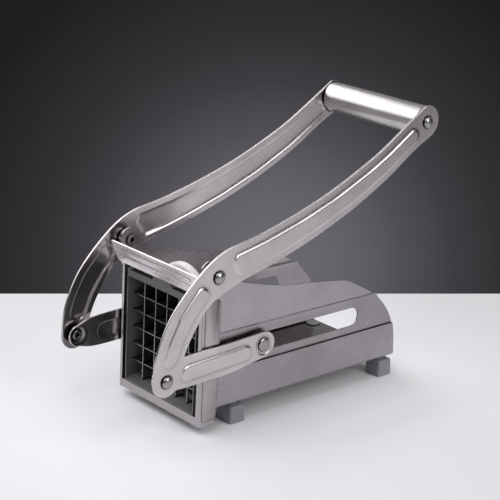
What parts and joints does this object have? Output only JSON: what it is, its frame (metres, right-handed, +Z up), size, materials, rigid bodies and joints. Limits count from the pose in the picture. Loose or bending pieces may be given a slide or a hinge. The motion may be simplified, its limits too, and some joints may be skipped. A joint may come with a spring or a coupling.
{
  "type": "french fry cutter",
  "caption": "Hand-lever french fry cutter: stamped steel body, lift-out blade cassette, studded pusher driven by side links, bent lever arms with a tube grip, rubber feet.",
  "frame": {"origin": "centre of the bounding box's underside, on the table plane under the feet", "axes": "+Z up, -Y toward the blade end that the strips come out of, +X toward the side seen nearest in the picture"},
  "size_m": [0.1106, 0.2592, 0.2084],
  "materials": {
    "satin_steel": "satin stainless sheet with a fine grain",
    "rivet_steel": "smooth stainless, slightly worn",
    "grip_steel": "polished stainless tube with grain along its length",
    "blade_steel": "ground blade steel",
    "cassette_plastic": "dark grey moulded plastic",
    "pusher_plastic": "dark grey moulded plastic",
    "bush_plastic": "dark grey moulded plastic",
    "foot_rubber": "matte grey rubber"
  },
  "bodies": {
    "base": {"front_frame": "satin_steel", "base_tray": "satin_steel", "side_wall_near": "satin_steel", "side_wall_far": "satin_steel", "foot_front_near": "foot_rubber", "foot_front_far": "foot_rubber", "foot_back_near": "foot_rubber", "foot_back_far": "foot_rubber", "pivot_rivet_near": "rivet_steel", "pivot_rivet_far": "rivet_steel", "pivot_sleeve_near": "rivet_steel", "pivot_sleeve_far": "rivet_steel"},
    "cassette": {"blade_cassette": "cassette_plastic", "upright_blade_1": "blade_steel", "upright_blade_2": "blade_steel", "upright_blade_3": "blade_steel", "upright_blade_4": "blade_steel", "upright_blade_5": "blade_steel", "level_blade_1": "blade_steel", "level_blade_2": "blade_steel", "level_blade_3": "blade_steel", "level_blade_4": "blade_steel", "level_blade_5": "blade_steel"},
    "pusher": {"pusher_block": "pusher_plastic", "pusher_bracket": "satin_steel", "pusher_pin_1": "rivet_steel", "pusher_pin_2": "rivet_steel", "pusher_pin_3": "rivet_steel", "pusher_pin_4": "rivet_steel", "pusher_axle": "rivet_steel", "slot_bush_near": "bush_plastic", "slot_bush_far": "bush_plastic"},
    "lever": {"lever_arm_near": "satin_steel", "lever_arm_far": "satin_steel", "crank_rivet_near": "rivet_steel", "crank_rivet_far": "rivet_steel", "handle_tube": "grip_steel", "handle_plug_near": "bush_plastic", "handle_plug_far": "bush_plastic", "handle_rod": "rivet_steel"},
    "links": {"link_arm_near": "satin_steel", "link_arm_far": "satin_steel", "axle_cap_near": "rivet_steel", "axle_cap_far": "rivet_steel"}
  },
  "joints": [
    {"name": "lever_pivot", "type": "hinge", "parent": "base", "child": "lever", "pos_m": [0, -0.07751, 0.1151], "axis": [1, 0, 0], "range_deg": [0, 71.4]},
    {"name": "link_pivot", "type": "hinge", "parent": "lever", "child": "links", "pos_m": [0, -0.1184, 0.05092], "axis": [1, 0, 0], "range_deg": [-74.6, 0]},
    {"name": "pusher_slide", "type": "slide", "parent": "base", "child": "pusher", "axis": [0, 1, 0], "range_m": [0, 0.0889]},
    {"name": "cassette_lift", "type": "slide", "parent": "base", "child": "cassette", "axis": [0, 0, 1], "range_m": [0, 0.094]}
  ],
  "couplings": [
    {"joint": "link_pivot", "follows": "lever_pivot", "ratio": -1.0446},
    {"joint": "pusher_slide", "follows": "lever_pivot", "m_per_rad": 0.071258}
  ]
}
